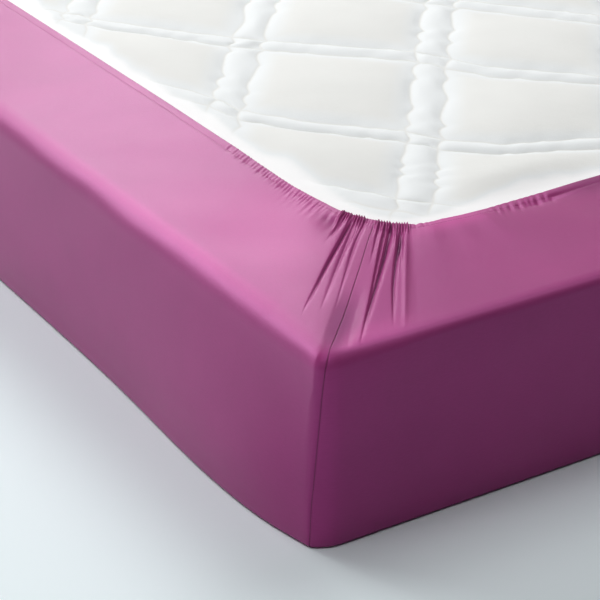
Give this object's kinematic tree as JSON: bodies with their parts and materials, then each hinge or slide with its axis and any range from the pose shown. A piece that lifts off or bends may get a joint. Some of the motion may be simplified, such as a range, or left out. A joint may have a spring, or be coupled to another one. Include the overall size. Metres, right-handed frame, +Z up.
{
  "type": "mattress with fitted sheet",
  "caption": "Plum fitted sheet on a quilted mattress that lies face down, with the elastic hem turned over and gathered into pleats at the corners.",
  "frame": {"origin": "on the floor, under the middle of the mattress", "axes": "+X across the mattress, +Y along its length, +Z up towards its quilted underside, which faces up here"},
  "size_m": [1.4564, 2.0124, 0.2074],
  "materials": {
    "sheet_cotton": "satin cotton",
    "mattress_ticking": "matte quilted ticking"
  },
  "bodies": {
    "root": {"sheet": "sheet_cotton", "mattress": "mattress_ticking"}
  },
  "joints": []
}
